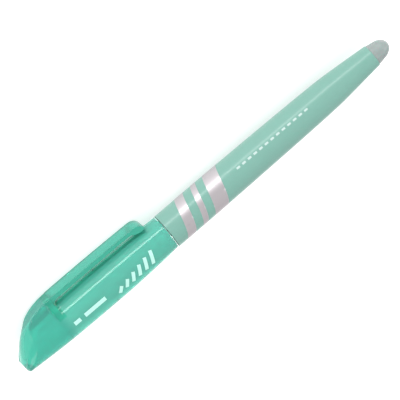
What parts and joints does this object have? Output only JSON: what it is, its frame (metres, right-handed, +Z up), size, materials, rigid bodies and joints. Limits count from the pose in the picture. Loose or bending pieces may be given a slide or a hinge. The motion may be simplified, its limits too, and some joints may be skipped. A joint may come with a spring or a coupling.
{
  "type": "highlighter",
  "caption": "Capped highlighter pen with a slanting clear tinted cap and flexible clip, a slim tapered barrel and a domed eraser on its tail.",
  "frame": {"origin": "middle of the object's box, on the surface that it lies on; the pen lies level on its cap's lip, with its clip's edge 0.15 mm clear of that surface", "axes": "+X along the pen from the cap to the eraser, +Z up, the clip hangs towards +Y and a little down"},
  "size_m": [0.138, 0.0157, 0.0126],
  "materials": {
    "cap_clear_green": "clear tinted polycarbonate, polished",
    "inner_cap_pale": "moulded polypropylene, fine matt",
    "section_white": "moulded polypropylene, fine matt",
    "nib_felt": "pressed polyester felt, inked",
    "ink_fibre": "bundled polyester fibre, inked",
    "film_clear": "thin clear film",
    "barrel_green": "opaque pastel green, polished",
    "eraser_rubber": "translucent grey elastomer, satin"
  },
  "bodies": {
    "pen": {"barrel": "barrel_green", "front_section": "section_white", "nib": "nib_felt", "reservoir_core": "ink_fibre", "reservoir_film": "film_clear", "eraser": "eraser_rubber"},
    "seal": {"inner_cap": "inner_cap_pale"},
    "cap": {"cap_shell": "cap_clear_green"},
    "clip_arm": {"clip": "cap_clear_green"}
  },
  "joints": [
    {"name": "cap_pull", "type": "slide", "parent": "pen", "child": "seal", "axis": [-1, 0, 0], "range_m": [0, 0.045]},
    {"name": "cap_turn", "type": "hinge", "parent": "seal", "child": "cap", "pos_m": [-0.046, -0.00158, 0.00628], "axis": [1, 0, 0], "continuous": true},
    {"name": "clip_flex", "type": "hinge", "parent": "cap", "child": "clip_arm", "pos_m": [-0.0515, 0.00689, 0.00242], "axis": [0, 0.4147, 0.91], "range_deg": [0, 5], "stiffness_Nm_per_rad": 0.5}
  ]
}
